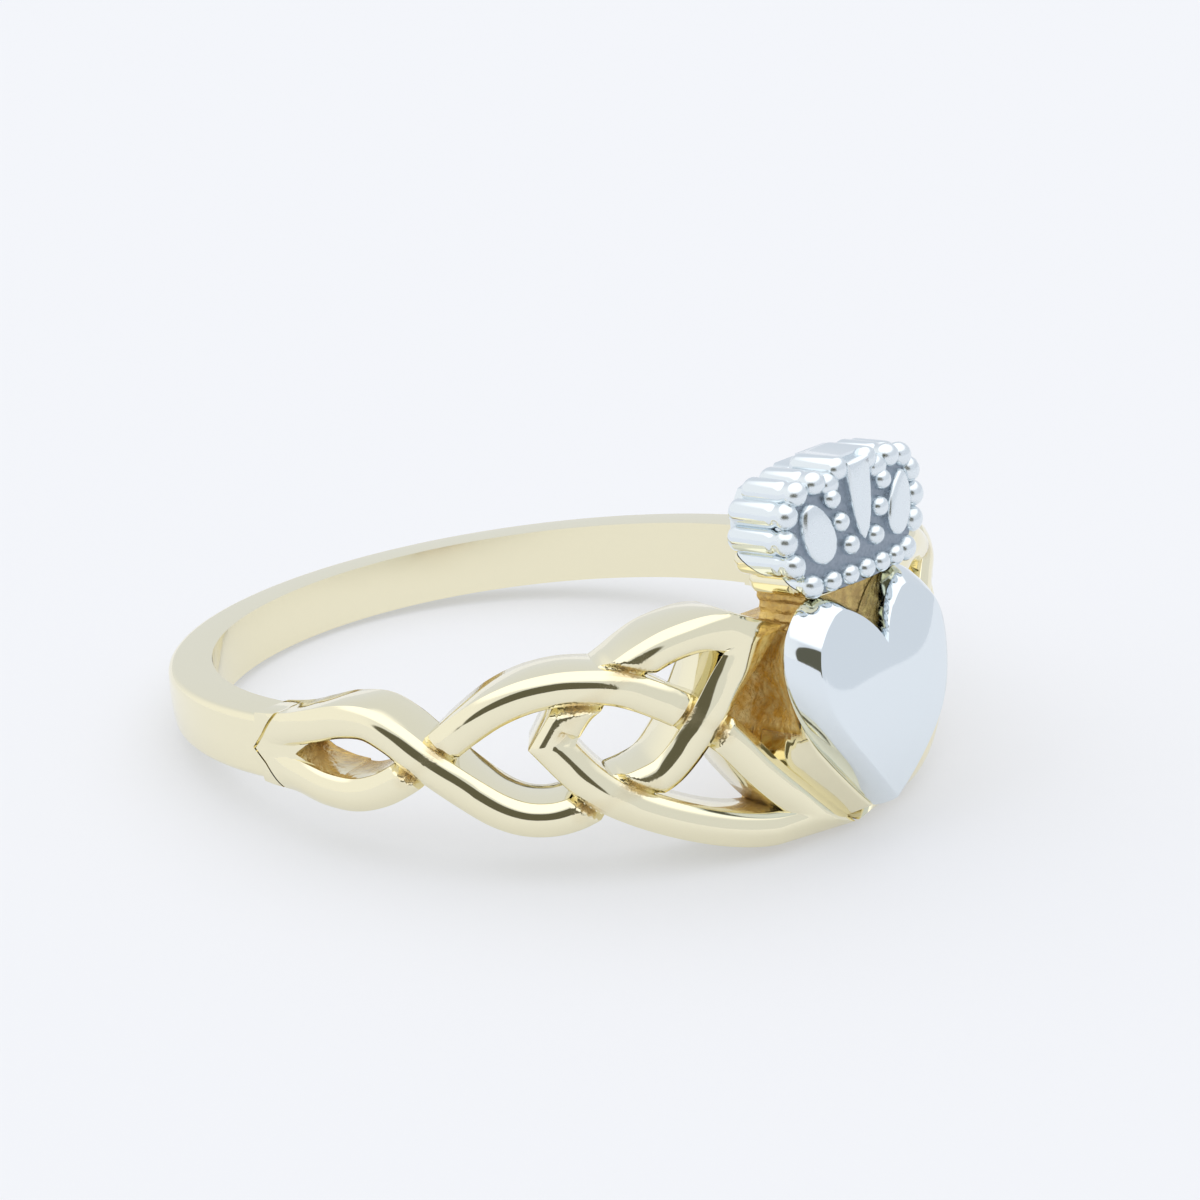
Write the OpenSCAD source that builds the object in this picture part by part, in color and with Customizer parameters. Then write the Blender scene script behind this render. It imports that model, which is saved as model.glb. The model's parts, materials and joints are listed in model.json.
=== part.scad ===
// Claddagh ring lying on its side: a yellow gold band whose shoulders are open trinity knots,
// with a white gold heart and crown soldered to a seat at the head.
//
// The ring is drawn about its own axis, which is Z, with the head towards -Y. It is then leaned
// back and lifted, so that it rests on the back of the band and on the low corners of the knots.
// Places on the band are given as [angle, height]: the angle in degrees round from the head, and
// the height along the axis.

/* [Finger and band] */
// Radius of the finger hole
finger_r = 8.65; // [7.5:0.05:10.5]
// Thickness of the plain band
band_t = 1.2; // [0.9:0.05:1.6]
// Width of the plain band at the back
band_w = 1.5; // [1.2:0.05:2.2]
// Extra width of the plain band where it meets the knots
band_flare = 0.4; // [0:0.05:0.6]
// Radius on the band's outer edges
band_round = 0.25; // [0.1:0.05:0.4]

/* [Knots] */
// Angle from the head to the pointed end of a knot, in degrees
knot_reach = 91; // [82:1:100]
// Half height of a knot, which the heights in its strands' rows are shares of
knot_h = 3.2; // [2.6:0.1:3.8]
// Width of a strand
strand_w = 0.86; // [0.7:0.02:1]
// Height of a strand's crest above the finger hole
strand_t = 1.38; // [1.2:0.02:1.8]
// How much higher the crests stand at the head than at a knot's point
head_rise = 1; // [0.4:0.05:1.2]
// How far the strands' inner edges are eased away from the finger at the head
inner_ease = 0.5; // [0:0.05:0.6]
// How far one strand dips where it passes under another
weave = 0.3; // [0.1:0.05:0.4]

/* [Heart] */
// Half of the heart's width
heart_r = 2.72; // [2.3:0.02:3]
// Height of the heart from its tip to the top of its lobes
heart_h = 5.9; // [5:0.1:6.6]
// Height of the heart's tip below the band's middle
heart_drop = 3.05; // [2.5:0.05:3.4]
// Distance from the ring's axis to the back of the heart
heart_seat = 11.4; // [10.9:0.05:12.3]
// Rise of the heart's dome above its edge
heart_dome = 0.95; // [0.6:0.05:1.5]
// Height of the heart's upright edge
heart_edge = 0.3; // [0.1:0.05:0.5]

/* [Crown] */
// Half of the crown's width where it is widest
crown_r = 2.71; // [2.2:0.01:3.1]
// Height of the crown from its foot to the side lobes
crown_h = 3.13; // [2.4:0.01:3.6]
// How much higher the middle lobe stands
crown_peak = 0.1; // [0:0.05:0.5]
// Distance from the ring's axis to the sunken face behind the beads
crown_face = 11.92; // [11.3:0.02:12.4]
// Radius of the ridges round the crown's edge
ridge_r = 0.3; // [0.2:0.01:0.35]
// Radius of the beads on the crown's face
bead_r = 0.25; // [0.18:0.01:0.3]
// How far the beads' middles stand out from the crown's face
bead_proud = 0.03; // [0.02:0.01:0.1]
// How far the ridges' rounded ends stand out from the crown's face
ridge_proud = 0.28; // [0.1:0.01:0.35]
// Height of the petals on the crown's face
petal_t = 0.24; // [0.1:0.02:0.4]
// Size of the bevel along the crown's upper back edge
crown_bevel = 0.55; // [0.2:0.05:0.8]
// Gap between the crown's foot and the top of the heart
crown_gap = 0.04; // [0.02:0.01:0.2]

/* [Seat and fits] */
// Thickness of the seat's floor, between the knots and the heart
floor_t = 1.15; // [0.9:0.05:1.3]
// Solder line between the seat and the white gold
seam = 0.03; // [0.02:0.01:0.06]
// Height of the crown's yellow foot at the back, above the crown's lower edge
foot_h = 1.3; // [0.6:0.1:1.8]
// Half of the width of the neck under the crown
neck_r = 1.7; // [1.2:0.05:2]
// Width of the sloping skirt round the heart's block, at its foot
skirt_w = 0.35; // [0.2:0.05:0.8]
// How far the seat stands in from the heart's outline
seat_edge = 0.1; // [0:0.02:0.2]

/* [Hidden] */

yellow_gold = "#e6cf93";
white_gold = "#cfd6de";

band_r = finger_r + band_t;
foot_z = heart_h - heart_drop + crown_gap;   // lower edge of the crown
root_depth = 0.4;                       // how far inside the finger hole the strands start
root_step = 0.1;                        // how far apart the roots of crossing strands lie
ease_lean = 20;                         // lean of the eased inner edges, in degrees
corner_clear = 0.3;                     // length kept free between a mitre and the first full section
strand_step = 0.6;                      // distance between the sections of a strand
knot_root = 0.905;                      // where the plain band ends inside a knot, as a share of knot_reach
point_rise = 0.15;                      // share of knot_reach over which crests rise from the knot's point
over_rise = 0.25;                       // rise of a strand that passes over another, as a share of weave
bite = 0.3;                             // how far fused solids reach into each other
lobe_half = 1.8 * ridge_r;              // half width of the crown's middle lobe, between its ridges' axes
lobe_set = 0.1;                         // how far the middle lobe's top stays behind the crown's face
petal_place = [0.57, 0.50];             // middle of a side petal: share of crown_r, share of crown_h
petal_half_w = 0.175;                   // half width of a side petal, as a share of crown_r
petal_taper = 0.03;                     // how much narrower it is at the top and wider below, likewise
petal_half_h = 0.262;                   // half height of a side petal, as a share of crown_h
petal_lean = 17;                        // lean of a side petal away from the middle, in degrees
petal_foot = 0.33;                      // height of the middle petal's foot, as a share of crown_h

// Centre lines of one knot's strand, cut at its three corners.
// Each row: share of knot_reach, share of knot_h, level (1 over, 0 plain, -1 under).
over_run = [
    [1.000,  0.15,  0], [0.927,  0.195, 0], [0.869,  0.26,  0], [0.813,  0.318, 0],
    [0.762,  0.314, 0], [0.718,  0.205, 0.3], [0.679,  0.05,  1], [0.640, -0.105, 1],
    [0.602, -0.26,  0], [0.564, -0.395, 0], [0.527, -0.475, 0], [0.489, -0.50,  0],
    [0.456, -0.478, -0.3], [0.424, -0.42, -1], [0.390, -0.372, -1], [0.352, -0.328, 0],
    [0.316, -0.262, 0], [0.286, -0.135, 0.3], [0.260,  0.017, 1], [0.236,  0.172, 1],
    [0.205,  0.375, 0], [0.160,  0.63,  0]];
top_run = [
    [0.160,  0.63,  0], [0.195,  0.72,  0], [0.235,  0.752, 0], [0.285,  0.722, 0],
    [0.325,  0.65, -0.2], [0.362,  0.555, -1], [0.398,  0.46, -1], [0.436,  0.335, 0],
    [0.475,  0.07,  0]];
low_run = [
    [0.475,  0.07,  0], [0.452, -0.09,  0.3], [0.428, -0.24,  1], [0.400, -0.376, 1],
    [0.367, -0.492, 0], [0.328, -0.604, 0], [0.280, -0.722, 0], [0.227, -0.83,  0],
    [0.173, -0.908, 0], [0.120, -0.945, 0], [0.071, -0.96,  0]];
under_run = [
    [0.071, -0.96,  0], [0.100, -0.806, 0], [0.139, -0.596, 0], [0.173, -0.386, 0],
    [0.203, -0.175, -0.3], [0.232, -0.004, -1], [0.266,  0.137, -1], [0.300,  0.262, 0],
    [0.338,  0.382, 0.2], [0.376,  0.47,  1], [0.419,  0.509, 0.6], [0.461,  0.516, 0],
    [0.508,  0.482, 0], [0.555,  0.397, 0], [0.597,  0.277, 0], [0.635,  0.145, -1],
    [0.674, -0.008, -1], [0.713, -0.132, 0], [0.752, -0.222, 0], [0.798, -0.268, 0],
    [0.849, -0.245, 0], [0.911, -0.18,  0], [1.000, -0.15,  0]];

// Front outline of the seat's floor, one half. Each row: share of heart_r, share of knot_h.
floor_half = [
    [0.00, -1.06], [0.35, -1.03], [0.62, -0.80], [0.84, -0.45], [1.10, -0.05],
    [1.12, 0.30], [0.92, 0.61], [0.00, 0.61]];

// Outline of the heart, one half from tip to cleft. Each row: share of heart_r, share of heart_h.
heart_half = [
    [0.00, 0.00], [0.14, 0.065], [0.31, 0.15], [0.50, 0.25], [0.70, 0.365], [0.865, 0.49],
    [0.97, 0.62], [1.00, 0.74], [0.94, 0.86], [0.75, 0.96], [0.50, 1.00], [0.28, 0.95],
    [0.11, 0.87], [0.00, 0.78]];
// Height of the dome's middle, as a share of heart_h
heart_belly = 0.58;
// The dome, from its edge to its middle. Each row: share of the outline taken off, share of the rise.
dome_levels = [[0, 0], [0.02, 0.23], [0.06, 0.44], [0.13, 0.61], [0.26, 0.78], [0.45, 0.91], [0.70, 0.98]];

// Ridges down one side of the crown. Each row: share of crown_r, share of crown_h.
ridge_places = [
    [0.66, 0.00], [0.83, 0.245], [0.89, 0.49], [0.86, 0.745], [0.73, 0.93], [0.52, 0.98]];
// Small ridge in the notch between two lobes.
notch_place = [0.335, 0.88];
// Beads of the crown's face, one half. Each row: share of crown_r, share of crown_h.
bead_places = [
    [0.00, 0.00], [0.22, 0.00], [0.445, 0.00],
    [0.175, 0.285], [0.275, 0.54], [0.355, 0.79]];
// Half outline of the middle petal. Each row: share of crown_r, share of its own height.
petal_half = [[0, 0], [0.06, 0.10], [0.115, 0.35], [0.145, 0.70], [0.15, 1], [0, 1]];

function smooth(x) = let (t = max(0, min(1, x))) t * t * (3 - 2 * t);
// How much a knot has swollen at an angle: nothing at its point, and 1 at the head.
function swell(a) = max(0, cos(90 * a / knot_reach));
// Height of the strands' crests: the band's at a knot's point, strand_t along it, and highest at the head.
function crest_r(a) = band_r
    + (strand_t - band_t) * smooth((1 - a / knot_reach) / point_rise)
    + head_rise * swell(a);
// Height of the strands' inner edges, below which they narrow.
function edge_r(a) = finger_r + inner_ease * swell(a);
function on_band(a, z, r) = [r * sin(a), -r * cos(a), z];

// A smooth curve through the rows p, q, r and s, at share t of the way from q to r.
function spline(p, q, r, s, t) =
    0.5 * (2 * q + (r - p) * t + (2 * p - 5 * q + 4 * r - s) * t * t
        + (3 * q - p - 3 * r + s) * t * t * t);
function spline_2d(rows, parts) = let (n = len(rows) - 1) [
    for (i = [0 : n - 1]) for (k = [0 : parts - 1])
        spline(rows[max(i - 1, 0)], rows[i], rows[i + 1], rows[min(i + 2, n)], k / parts),
    rows[n]];
function run_rows(run) = [for (r = run) [r[0] * knot_reach, r[1] * knot_h, r[2]]];
function fine_line(rows) = let (n = len(rows) - 1) [
    for (i = [0 : n - 1])
        let (p = rows[max(i - 1, 0)], q = rows[i], r = rows[i + 1], s = rows[min(i + 2, n)],
            parts = max(1, ceil(norm(flat(r) - flat(q)) / strand_step)))
        for (k = [0 : parts - 1]) spline(p, q, r, s, k / parts),
    rows[n]];

// The unrolled plane: distance round the band at the strands' middle radius, and height.
mid_r = finger_r + strand_t / 2;
function flat(p) = [p[0] * PI / 180 * mid_r, p[1]];
function unit(v) = v / norm(v);
function heading(line, i) = unit(flat(line[min(i + 1, len(line) - 1)]) - flat(line[max(i - 1, 0)]));
function left_of(d) = [-d[1], d[0]];
// The mitre between two headings, as the sideways step for one unit of offset.
function mitre(d, e) = let (m = left_of(d), n = left_of(e)) (m + n) / (1 + m * n);

// Half section of a strand: [share of its half width, drop of the crest as a share of its width].
strand_half = [[0.96, 0.30], [0.78, 0.11], [0.42, 0.03]];

function section(p, side) = let (
        f = flat(p),
        top = crest_r(p[0]) + weave * (p[2] > 0 ? p[2] * over_rise : p[2]),
        half = strand_w / 2,
        root = finger_r - root_depth - root_step * p[2],
        edge = edge_r(p[0]),
        foot = max(0.1, 1 - tan(ease_lean) * (edge - root) / half),
        outline = concat(
            [[foot, root], [1, edge]],
            [for (s = strand_half) [s[0], top - s[1] * strand_w]],
            [[0, top]],
            [for (i = [len(strand_half) - 1 : -1 : 0])
                [-strand_half[i][0], top - strand_half[i][1] * strand_w]],
            [[-1, edge], [-foot, root]]))
    [for (o = outline) let (q = f + side * o[0] * half) on_band(q[0] * 180 / PI / mid_r, q[1], o[1])];

// One strand between two corners. A corner's first full section stands clear of its mitre.
module strand(run, before = [0, 0], after = [0, 0]) {
    line = fine_line(run_rows(run));
    n = len(line) - 1;
    first = heading(line, 0);
    last = heading(line, n);
    m0 = before == [0, 0] ? left_of(first) : mitre(before, first);
    m1 = after == [0, 0] ? left_of(last) : mitre(last, after);
    clear0 = abs(m0 * first) * strand_w / 2 + corner_clear;
    clear1 = abs(m1 * last) * strand_w / 2 + corner_clear;
    body = [for (i = [1 : n - 1])
        if (norm(flat(line[i]) - flat(line[0])) > clear0
            && norm(flat(line[i]) - flat(line[n])) > clear1)
        section(line[i], left_of(heading(line, i)))];
    rings = concat([section(line[0], m0)], body, [section(line[n], m1)]);
    k = len(rings[0]);
    m = len(rings);
    // A mitre isn't flat, so both of the strands that meet there split it into the same triangles.
    cap = [for (j = [0 : (k - 3) / 2]) for (t = [0, 1]) if (j < (k - 3) / 2 || t == 0)
        t == 0 ? [j, j + 1, k - 1 - j] : [j + 1, k - 2 - j, k - 1 - j]];
    polyhedron(
        points = [for (r = rings) for (p = r) p],
        faces = concat(
            cap,
            [for (i = [0 : m - 2]) for (j = [0 : k - 1]) for (t = [0, 1])
                let (a = i * k + j, b = i * k + (j + 1) % k)
                t == 0 ? [a, b + k, b] : [a, a + k, b + k]],
            [for (c = cap) [for (i = [2 : -1 : 0]) (m - 1) * k + c[i]]]));
}

// The heading of a run at its first or last row.
function start_of(run) = let (l = fine_line(run_rows(run))) heading(l, 0);
function end_of(run) = let (l = fine_line(run_rows(run))) heading(l, len(l) - 1);

module knot() {
    strand(over_run, after = start_of(top_run));
    strand(top_run, before = end_of(over_run), after = start_of(low_run));
    strand(low_run, before = end_of(top_run), after = start_of(under_run));
    strand(under_run, before = end_of(low_run));
}

// The plain band as cut by its upper side only, which slopes so that the band is wider at the knots.
module band_side() {
    tilt = atan2(band_flare / 2, band_r);
    half = (band_w + band_flare) / 2 * cos(tilt);
    reach = band_w + band_flare;
    rotate([-tilt, 0, 0])
        rotate_extrude($fn = 96) {
            translate([0, -reach]) square([band_r, reach + half - band_round]);
            square([band_r - band_round, half]);
            translate([band_r - band_round, half - band_round]) circle(band_round, $fn = 32);
        }
}

module shank() {
    overlap_a = 90 - knot_root * knot_reach;
    size = 4 * band_r;
    intersection() {
        band_side();
        mirror([0, 0, 1]) band_side();
        translate([-size / 2, -band_r * sin(overlap_a), -size / 2]) cube([size, size, size]);
    }
}

// Outline of the heart, drawn in by an edge in mm. It is sharp at the tip and the cleft only.
heart_side = spline_2d([for (r = heart_half) [r[0] * heart_r, r[1] * heart_h - heart_drop]], 3);
heart_mid = [0, heart_belly * heart_h - heart_drop];
function heart_outline(edge) = let (
        inner = 1 - edge / heart_r,
        side = [for (p = heart_side) heart_mid + (p - heart_mid) * inner],
        n = len(side) - 1)
    concat(side, [for (i = [n - 1 : -1 : 1]) [-side[i][0], side[i][1]]]);

// A front outline [x, z] pushed out along -Y from one distance to another.
module raise(from, to) {
    translate([0, -from, 0]) rotate([90, 0, 0]) linear_extrude(to - from) children();
}

heart_base = heart_seat + heart_edge;
heart_rings = concat(
    [[for (p = heart_outline(0)) [p[0], -heart_seat, p[1]]]],
    [for (l = dome_levels) [for (p = heart_outline(0))
        let (q = heart_mid + (p - heart_mid) * (1 - l[0]))
        [q[0], -(heart_base + l[1] * heart_dome), q[1]]]]);
heart_peak = [0, -heart_base - heart_dome, heart_mid[1]];

// Place [x, z] of a row of shares on the crown's face.
function crown_place(row) = [row[0] * crown_r, foot_z + ridge_r + row[1] * (crown_h - 2 * ridge_r)];
crown_side = [for (r = ridge_places) crown_place(r)];
notch = crown_place(notch_place);
peak_z = foot_z + crown_h + crown_peak;
peak_side = [lobe_half, peak_z - ridge_r];

function both_sides(half) = concat(half,
    [for (i = [len(half) - 1 : -1 : 0]) if (half[i][0] > 0) [-half[i][0], half[i][1]]]);

// Children along the axis of each bead or ridge: at [x, z] and as deep as a cylinder of radius r.
module on_face(place, r) {
    translate([place[0], -sqrt(r * r - place[0] * place[0]), place[1]]) children();
}

module crown_core() {
    polygon(both_sides(concat([[0, foot_z], [crown_side[0][0], foot_z]], crown_side,
        [notch, peak_side, [0, peak_z - ridge_r]])));
}

module ridge(place) {
    front = sqrt(crown_face * crown_face - place[0] * place[0]) + ridge_proud - ridge_r;
    raise(band_r, front) translate(place) circle(ridge_r, $fn = 24);
    translate([place[0], -front, place[1]]) sphere(ridge_r, $fn = 24);
}

module crown_block() difference() {
    union() {
        intersection() {
            raise(band_r, crown_face + ridge_proud) crown_core();
            cylinder(h = 6 * knot_h, r = crown_face, center = true, $fn = 96);
        }
        for (m = [0, 1]) mirror([m, 0, 0])
            for (p = concat(crown_side, [notch, peak_side])) ridge(p);
        raise(band_r, crown_face - lobe_set) translate([-lobe_half, foot_z + crown_h / 2])
            square([2 * lobe_half, crown_h / 2 + crown_peak - lobe_set * ridge_r]);
    }
    translate([-crown_r, -band_r - crown_bevel, peak_z]) rotate([-45, 0, 0])
        cube([2 * crown_r, 2 * crown_h, crown_h]);
}

module side_petal() {
    translate(crown_place(petal_place)) rotate(-petal_lean)
        polygon([for (t = [0 : 18 : 342])
            [(petal_half_w - petal_taper * sin(t)) * crown_r * cos(t), petal_half_h * crown_h * sin(t)]]);
}

module middle_petal() {
    low = foot_z + petal_foot * crown_h;
    polygon(both_sides([for (r = petal_half)
        [r[0] * crown_r, low + r[1] * (peak_z - 0.5 * ridge_r - low)]]));
}

// Everything below the slope that parts the crown's white gold from its yellow foot.
module below_slope(gap) {
    size = 8 * crown_r;
    translate([0, -crown_face, foot_z - gap])
        rotate([atan2(foot_h, crown_face - band_r), 0, 0])
            translate([-size / 2, -size / 2, -size]) cube(size);
}

// Solid between rings of points, closed by a flat base and by a flat or pointed top.
module lofted(rings, peak = []) {
    n = len(rings[0]);
    m = len(rings);
    last = (m - 1) * n;
    polyhedron(
        points = concat([for (r = rings) for (p = r) p], peak),
        faces = concat(
            [[for (j = [0 : n - 1]) j]],
            [for (i = [0 : m - 2]) for (j = [0 : n - 1]) for (t = [0, 1])
                let (a = i * n + j, b = i * n + (j + 1) % n)
                t == 0 ? [a, b + n, b] : [a, a + n, b + n]],
            len(peak) == 0 ? [[for (j = [n - 1 : -1 : 0]) last + j]]
                : [for (j = [0 : n - 1]) [last + j, m * n, last + (j + 1) % n]]));
}

module skirt(foot_r) {
    lofted([
        [for (p = heart_outline(-skirt_w)) [p[0], -foot_r, p[1]]],
        [for (p = heart_outline(0)) [p[0], seam - heart_seat, p[1]]]]);
}

// The floor between the knots, the heart's block, and the crown's neck and yellow foot.
module head_seat() {
    floor_r = finger_r + floor_t;
    intersection() {
        cylinder(h = 6 * knot_h, r = floor_r, center = true, $fn = 96);
        raise(0.5 * finger_r, floor_r)
            polygon(both_sides([for (p = floor_half) [p[0] * heart_r, p[1] * knot_h]]));
    }
    raise(floor_r - bite, heart_seat - seam) {
        polygon(heart_outline(seat_edge));
        translate([-neck_r, 0]) square([2 * neck_r, foot_z + bite / 2]);
    }
    intersection() {
        skirt(floor_r - bite);
        translate([-2 * heart_r, -2 * band_r, -2 * knot_h])
            cube([4 * heart_r, 2 * band_r, 2 * knot_h + floor_half[len(floor_half) - 1][1] * knot_h]);
    }
    intersection() {
        crown_block();
        below_slope(seam);
    }
}

module band() color(yellow_gold) stand() difference() {
    union() {
        shank();
        knot();
        mirror([1, 0, 0]) knot();
        head_seat();
    }
    cylinder(h = 6 * knot_h, r = finger_r, center = true, $fn = 128);
}

module heart() color(white_gold) stand() lofted(heart_rings, [heart_peak]);

module crown() color(white_gold) stand() {
    difference() {
        crown_block();
        below_slope(0);
    }
    for (m = [0, 1]) mirror([m, 0, 0])
        for (p = bead_places) if (m == 0 || p[0] > 0)
            on_face(crown_place(p), crown_face + bead_proud) sphere(bead_r, $fn = 24);
    intersection() {
        cylinder(h = 6 * knot_h, r = crown_face + petal_t, center = true, $fn = 96);
        raise(crown_face - bite, crown_face + petal_t) {
            side_petal();
            mirror([1, 0]) side_petal();
            middle_petal();
        }
    }
}

// The lean at which the ring rests, on the band's outer edge at the back and on the inner edges of
// the knots' lowest corners.
low_corner = section(fine_line(run_rows(under_run))[0], mitre(end_of(low_run), start_of(under_run)));
low_z = min([for (p = low_corner) p[2]]);
low_tip = [for (p = low_corner) if (p[2] == low_z) p][0];
lean = atan2(-low_z - band_w / 2, band_r - low_tip[1]);

// How far towards the back a point lies once the ring is leaned.
function leaned_y(p) = p[1] * cos(lean) + p[2] * sin(lean);
front_y = min([for (r = concat(heart_rings, [[heart_peak]])) for (p = r) leaned_y(p)]);
back_y = leaned_y([0, band_r - band_round, band_w / 2 - band_round]) + band_round;

// Leaned, lifted onto the ground, and with its middle over the origin.
module stand() {
    translate([0, -(front_y + back_y) / 2, band_r * sin(lean) + band_w / 2 * cos(lean)])
        rotate([-lean, 0, 0]) children();
}

band();
heart();
crown();
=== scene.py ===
"""Claddagh ring: the visible surfaces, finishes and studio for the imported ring.

The ring is drawn in millimetres about its own axis, which is Z, with the head towards -Y, and is
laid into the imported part's frame by the finger bore's place and lean. Places on the band are
given as [angle, height]: the angle in degrees round from the head, and the height along the axis.
"""

import json
import math

import bmesh
import bpy
import numpy as np
from mathutils import Matrix, Vector, noise
from mathutils.kdtree import KDTree


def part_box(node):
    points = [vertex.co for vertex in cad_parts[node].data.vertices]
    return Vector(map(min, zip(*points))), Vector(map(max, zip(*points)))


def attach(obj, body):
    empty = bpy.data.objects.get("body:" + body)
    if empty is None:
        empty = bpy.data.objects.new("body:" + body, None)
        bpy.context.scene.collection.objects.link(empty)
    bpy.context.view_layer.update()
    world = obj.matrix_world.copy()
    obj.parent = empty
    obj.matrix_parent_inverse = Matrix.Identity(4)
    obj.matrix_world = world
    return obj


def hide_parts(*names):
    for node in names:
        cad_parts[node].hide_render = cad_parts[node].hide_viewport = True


bl_info = {
    "name": "Claddagh Ring",
    "version": (1, 0, 0),
    "blender": (4, 5, 0),
    "location": "View3D > Sidebar > Ring",
    "description": "Finishes a two-tone claddagh ring with trinity knot shoulders",
    "category": "Add Mesh",
}

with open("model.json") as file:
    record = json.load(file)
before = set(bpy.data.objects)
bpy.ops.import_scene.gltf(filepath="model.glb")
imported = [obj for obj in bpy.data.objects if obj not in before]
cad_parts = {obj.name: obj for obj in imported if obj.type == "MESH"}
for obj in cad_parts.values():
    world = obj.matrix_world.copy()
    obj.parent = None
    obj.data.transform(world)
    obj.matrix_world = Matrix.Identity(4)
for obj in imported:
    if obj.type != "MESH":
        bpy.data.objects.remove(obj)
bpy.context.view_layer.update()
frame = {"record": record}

MM = 0.001
BORE = next(m for m in frame["record"]["mounts"] if m["name"] == "finger_bore")
FINGER_R = BORE["dims"]["r_mm"]
ROOT_R = FINGER_R - 0.3  # where the band's pieces start, for the finger hole to cut them clean
LEAN = math.atan2(BORE["axis"][1], BORE["axis"][2])
LAID = Matrix.Translation(Vector(BORE["pos_m"])) @ Matrix.Rotation(-LEAN, 4, "X")
RING_PLACE = LAID @ Matrix.Scale(MM, 4)


def half_width(node):
    """Half of a CAD node's width in mm. The ring's two halves mirror each other in X."""
    low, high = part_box(node)
    return (high[0] - low[0]) / 2 / MM


HEART_R = half_width("heart")

# Centre lines of one knot's strand, cut at its three corners.
# Each row: share of knot_reach, share of knot_h, level (1 over, 0 plain, -1 under).
OVER_RUN = [
    (1.000, 0.15, 0), (0.927, 0.195, 0), (0.869, 0.26, 0), (0.813, 0.318, 0),
    (0.762, 0.314, 0), (0.718, 0.205, 0.3), (0.679, 0.05, 1), (0.640, -0.105, 1),
    (0.602, -0.26, 0), (0.564, -0.395, 0), (0.527, -0.475, 0), (0.489, -0.50, 0),
    (0.456, -0.478, -0.3), (0.424, -0.42, -1), (0.390, -0.372, -1), (0.352, -0.328, 0),
    (0.316, -0.262, 0), (0.286, -0.135, 0.3), (0.260, 0.017, 1), (0.236, 0.172, 1),
    (0.205, 0.375, 0), (0.160, 0.63, 0),
]
TOP_RUN = [
    (0.160, 0.63, 0), (0.195, 0.72, 0), (0.235, 0.752, 0), (0.285, 0.722, 0),
    (0.325, 0.65, -0.2), (0.362, 0.555, -1), (0.398, 0.46, -1), (0.436, 0.335, 0),
    (0.475, 0.07, 0),
]
LOW_RUN = [
    (0.475, 0.07, 0), (0.452, -0.09, 0.3), (0.428, -0.24, 1), (0.400, -0.376, 1),
    (0.367, -0.492, 0), (0.328, -0.604, 0), (0.280, -0.722, 0), (0.227, -0.83, 0),
    (0.173, -0.908, 0), (0.120, -0.945, 0), (0.071, -0.96, 0),
]
UNDER_RUN = [
    (0.071, -0.96, 0), (0.100, -0.806, 0), (0.139, -0.596, 0), (0.173, -0.386, 0),
    (0.203, -0.175, -0.3), (0.232, -0.004, -1), (0.266, 0.137, -1), (0.300, 0.262, 0),
    (0.338, 0.382, 0.2), (0.376, 0.47, 1), (0.419, 0.509, 0.6), (0.461, 0.516, 0),
    (0.508, 0.482, 0), (0.555, 0.397, 0), (0.597, 0.277, 0), (0.635, 0.145, -1),
    (0.674, -0.008, -1), (0.713, -0.132, 0), (0.752, -0.222, 0), (0.798, -0.268, 0),
    (0.849, -0.245, 0), (0.911, -0.18, 0), (1.000, -0.15, 0),
]
RUNS = (OVER_RUN, TOP_RUN, LOW_RUN, UNDER_RUN)

# Front outline of the seat's floor, one half, with the web left in the knot's low corner.
# Each row: share of heart_r, share of knot_h.
FLOOR_HALF = [
    (0.00, -1.04), (0.35, -1.01), (0.72, -0.93), (0.67, -0.80), (0.66, -0.62), (0.84, -0.42),
    (1.10, -0.05), (1.10, 0.30), (0.92, 0.61), (0.00, 0.61),
]

# Outline of the heart, one half from tip to cleft. Each row: share of heart_r, share of heart_h.
HEART_HALF = [
    (0.00, 0.00), (0.14, 0.065), (0.31, 0.15), (0.50, 0.25), (0.70, 0.365), (0.865, 0.49),
    (0.97, 0.62), (1.00, 0.74), (0.94, 0.86), (0.75, 0.96), (0.50, 1.00), (0.28, 0.95),
    (0.11, 0.87), (0.00, 0.78),
]
HEART_BELLY = 0.46  # height of the dome's middle, as a share of heart_h

# Ridges down one side of the crown. Each row: share of crown_r, share of crown_h.
RIDGE_PLACES = [(0.66, 0.00), (0.83, 0.245), (0.89, 0.49), (0.86, 0.745), (0.73, 0.93), (0.52, 0.98)]
NOTCH_PLACE = (0.335, 0.92)
# Beads of the crown's face, one half. Each row: share of crown_r, share of crown_h.
BEAD_PLACES = [(0.00, 0.00), (0.22, 0.00), (0.445, 0.00), (0.175, 0.285), (0.275, 0.54), (0.355, 0.79)]
# Half outline of the middle petal. Each row: share of crown_r, share of its own height.
PETAL_HALF = [(0, 0), (0.06, 0.10), (0.115, 0.35), (0.145, 0.70), (0.15, 1), (0, 1)]


def linear(hex_colour):
    """An sRGB hex colour as linear RGBA."""
    parts = [int(hex_colour[i : i + 2], 16) / 255 for i in (1, 3, 5)]
    return tuple(c / 12.92 if c <= 0.04045 else ((c + 0.055) / 1.055) ** 2.4 for c in parts) + (1.0,)


def size(name, value, description, scale="mm"):
    """A length, or an angle in degrees."""
    return bpy.props.FloatProperty(name=name, default=value, description=f"{description}, in {scale}")


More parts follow.
